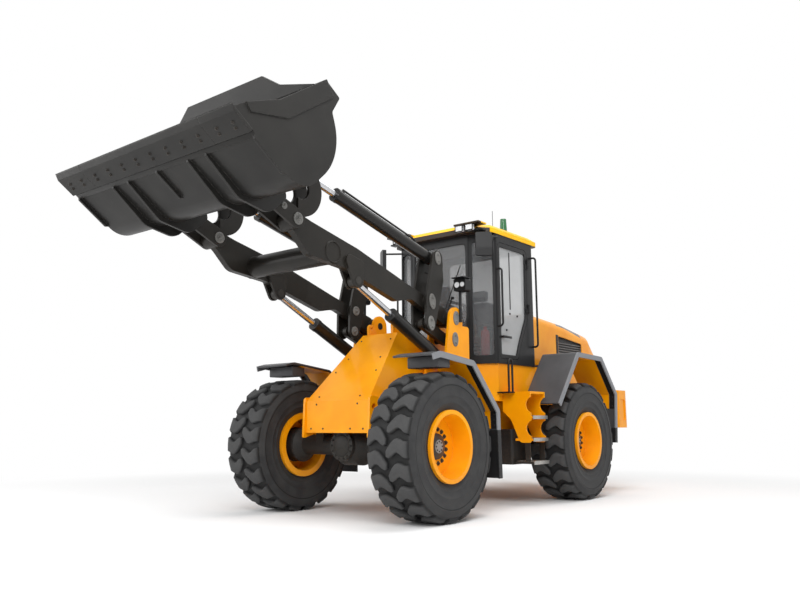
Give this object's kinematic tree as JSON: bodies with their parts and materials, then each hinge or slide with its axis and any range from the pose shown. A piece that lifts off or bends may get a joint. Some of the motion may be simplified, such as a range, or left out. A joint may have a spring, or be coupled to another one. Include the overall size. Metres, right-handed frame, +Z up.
{
  "type": "wheel loader",
  "caption": "Articulated wheel loader with an enclosed cab, parallel-lift arms holding a wide bucket, and a hinged rear engine hood, for digging, lifting and loading loose material.",
  "frame": {"origin": "middle of the whole machine at ground level, at rest", "axes": "+X forward, +Y to the machine's left, +Z up"},
  "size_m": [7.9108, 2.66, 4.1636],
  "materials": {
    "yellow_paint": "satin",
    "cast_yellow": "satin",
    "dark_paint": "satin",
    "ram_paint": "satin",
    "chrome_rod": "polished",
    "bare_steel": "brushed",
    "tyre_rubber": "matte",
    "axle_casting": "satin",
    "engine_metal": "cast",
    "grey_plastic": "matte",
    "black_plastic": "matte",
    "cab_black": "satin",
    "window_glass": "clear",
    "roof_yellow": "gloss",
    "seat_fabric": "woven",
    "beacon_green": "gloss",
    "lamp_lens": "gloss"
  },
  "bodies": {
    "rear_frame": {"rear_chassis": "yellow_paint", "rear_axle": "axle_casting", "engine_block": "engine_metal", "counterweight": "cast_yellow", "rear_fenders": "grey_plastic", "cab_platform": "yellow_paint", "cab_shell": "cab_black", "cab_glass": "window_glass", "cab_roof": "roof_yellow", "seat": "seat_fabric", "steering_console": "black_plastic", "access_steps": "yellow_paint", "side_boxes": "black_plastic", "mirrors": "black_plastic", "hand_rails": "black_plastic", "beacon": "beacon_green", "roof_lamps": "lamp_lens"},
    "front_frame": {"front_chassis": "yellow_paint", "front_axle": "axle_casting", "front_fenders": "grey_plastic", "hinge_pins": "bare_steel", "tower_pins": "bare_steel", "headlamps": "lamp_lens"},
    "wheel_front_left": {"tyre_front_left": "tyre_rubber", "rim_front_left": "yellow_paint"},
    "wheel_front_right": {"tyre_front_right": "tyre_rubber", "rim_front_right": "yellow_paint"},
    "wheel_rear_left": {"tyre_rear_left": "tyre_rubber", "rim_rear_left": "yellow_paint"},
    "wheel_rear_right": {"tyre_rear_right": "tyre_rubber", "rim_rear_right": "yellow_paint"},
    "lift_arms": {"arm_left": "dark_paint", "arm_right": "dark_paint", "arm_cross_tube": "dark_paint", "lever_pins": "bare_steel"},
    "tilt_lever_pair": {"tilt_levers": "dark_paint"},
    "tilt_base": {"tilt_base_pins": "bare_steel"},
    "tilt_barrel_pair": {"tilt_barrels": "ram_paint"},
    "tilt_rod_pair": {"tilt_rods": "chrome_rod"},
    "bucket_hinge": {"bucket_pins": "bare_steel"},
    "bucket": {"bucket_shell": "dark_paint", "bucket_edge": "bare_steel", "hitch_hooks": "dark_paint"},
    "level_link_pair": {"level_links": "dark_paint"},
    "lift_barrel_pair": {"lift_barrels": "ram_paint"},
    "lift_rod_pair": {"lift_rods": "chrome_rod"},
    "steer_barrel_l": {"steer_barrel_left": "ram_paint"},
    "steer_rod_l": {"steer_rod_left": "chrome_rod"},
    "steer_barrel_r": {"steer_barrel_right": "ram_paint"},
    "steer_rod_r": {"steer_rod_right": "chrome_rod"},
    "door": {"door_frame": "cab_black", "door_glass": "window_glass"},
    "hood_lid": {"hood": "yellow_paint"}
  },
  "joints": [
    {"name": "steer", "type": "hinge", "parent": "rear_frame", "child": "front_frame", "pos_m": [-0.45543, 0, 0], "axis": [0, 0, 1], "range_deg": [-40, 40]},
    {"name": "lift", "type": "hinge", "parent": "front_frame", "child": "lift_arms", "pos_m": [0.17057, 0, 2.173], "axis": [0, -1, 0], "range_deg": [-59, 28]},
    {"name": "lever_level", "type": "hinge", "parent": "lift_arms", "child": "tilt_lever_pair", "pos_m": [0.57457, 0, 2.325], "axis": [0, -1, 0], "range_deg": [-29, 60]},
    {"name": "link_swing", "type": "hinge", "parent": "front_frame", "child": "level_link_pair", "pos_m": [0.19457, 0, 1.925], "axis": [0, -1, 0], "range_deg": [-60, 29]},
    {"name": "tilt_base_level", "type": "hinge", "parent": "tilt_lever_pair", "child": "tilt_base", "pos_m": [0.45957, 0, 2.838], "axis": [0, -1, 0], "range_deg": [-60, 29]},
    {"name": "bucket_level", "type": "hinge", "parent": "lift_arms", "child": "bucket_hinge", "pos_m": [2.64457, 0, 2.854], "axis": [0, -1, 0], "range_deg": [-29, 60]},
    {"name": "tilt", "type": "hinge", "parent": "bucket_hinge", "child": "bucket", "pos_m": [2.64457, 0, 2.854], "axis": [0, 1, 0], "range_deg": [0, 80]},
    {"name": "tilt_barrel_swing", "type": "hinge", "parent": "tilt_base", "child": "tilt_barrel_pair", "pos_m": [0.45957, 0, 2.838], "axis": [0, 1, 0], "range_deg": [-1, 10.66]},
    {"name": "tilt_rod_slide", "type": "slide", "parent": "tilt_barrel_pair", "child": "tilt_rod_pair", "axis": [0.9689, 0, 0.2476], "range_m": [-0.01, 0.5526]},
    {"name": "lift_rod_swing", "type": "hinge", "parent": "lift_arms", "child": "lift_rod_pair", "pos_m": [1.75957, 0, 2.4], "axis": [0, -1, 0], "range_deg": [-2.68, 4.54]},
    {"name": "lift_barrel_slide", "type": "slide", "parent": "lift_rod_pair", "child": "lift_barrel_pair", "axis": [0.9028, 0, 0.4302], "range_m": [-0.2443, 0.5036]},
    {"name": "steer_barrel_swing_l", "type": "hinge", "parent": "rear_frame", "child": "steer_barrel_l", "pos_m": [-1.20543, 0.285, 0.8], "axis": [0, 0, 1], "range_deg": [-10.25, 10.25]},
    {"name": "steer_rod_slide_l", "type": "slide", "parent": "steer_barrel_l", "child": "steer_rod_l", "axis": [1, 0, 0], "range_m": [-0.2017, 0.2017]},
    {"name": "steer_barrel_swing_r", "type": "hinge", "parent": "rear_frame", "child": "steer_barrel_r", "pos_m": [-1.20543, -0.285, 0.8], "axis": [0, 0, 1], "range_deg": [-10.25, 10.25]},
    {"name": "steer_rod_slide_r", "type": "slide", "parent": "steer_barrel_r", "child": "steer_rod_r", "axis": [1, 0, 0], "range_m": [-0.2017, 0.2017]},
    {"name": "roll_front_left", "type": "hinge", "parent": "front_frame", "child": "wheel_front_left", "pos_m": [1.08457, 1.04, 0.745], "axis": [0, 1, 0], "continuous": true},
    {"name": "roll_front_right", "type": "hinge", "parent": "front_frame", "child": "wheel_front_right", "pos_m": [1.08457, -1.04, 0.745], "axis": [0, 1, 0], "continuous": true},
    {"name": "roll_rear_left", "type": "hinge", "parent": "rear_frame", "child": "wheel_rear_left", "pos_m": [-1.99543, 1.04, 0.745], "axis": [0, 1, 0], "continuous": true},
    {"name": "roll_rear_right", "type": "hinge", "parent": "rear_frame", "child": "wheel_rear_right", "pos_m": [-1.99543, -1.04, 0.745], "axis": [0, 1, 0], "continuous": true},
    {"name": "door_swing", "type": "hinge", "parent": "rear_frame", "child": "door", "pos_m": [-1.43843, 0.774, 2.45], "axis": [0, 0, 1], "range_deg": [0, 90]},
    {"name": "hood_lift", "type": "hinge", "parent": "rear_frame", "child": "hood_lid", "pos_m": [-1.77143, 0, 2.438], "axis": [0, 1, 0], "range_deg": [0, 55]}
  ],
  "couplings": [
    {"joint": "lever_level", "follows": "lift", "ratio": -1},
    {"joint": "link_swing", "follows": "lift", "ratio": 1},
    {"joint": "tilt_base_level", "follows": "lift", "ratio": 1},
    {"joint": "bucket_level", "follows": "lift", "ratio": -1},
    {"joint": "lift_rod_swing", "follows": "lift", "ratio": -0.06},
    {"joint": "lift_barrel_slide", "follows": "lift", "m_per_rad": -0.47937},
    {"joint": "tilt_barrel_swing", "follows": "tilt", "ratio": 0.12076},
    {"joint": "tilt_rod_slide", "follows": "tilt", "m_per_rad": 0.38862},
    {"joint": "steer_barrel_swing_l", "follows": "steer", "ratio": 0.23121},
    {"joint": "steer_rod_slide_l", "follows": "steer", "m_per_rad": -0.27454},
    {"joint": "steer_barrel_swing_r", "follows": "steer", "ratio": 0.23121},
    {"joint": "steer_rod_slide_r", "follows": "steer", "m_per_rad": 0.27454}
  ]
}
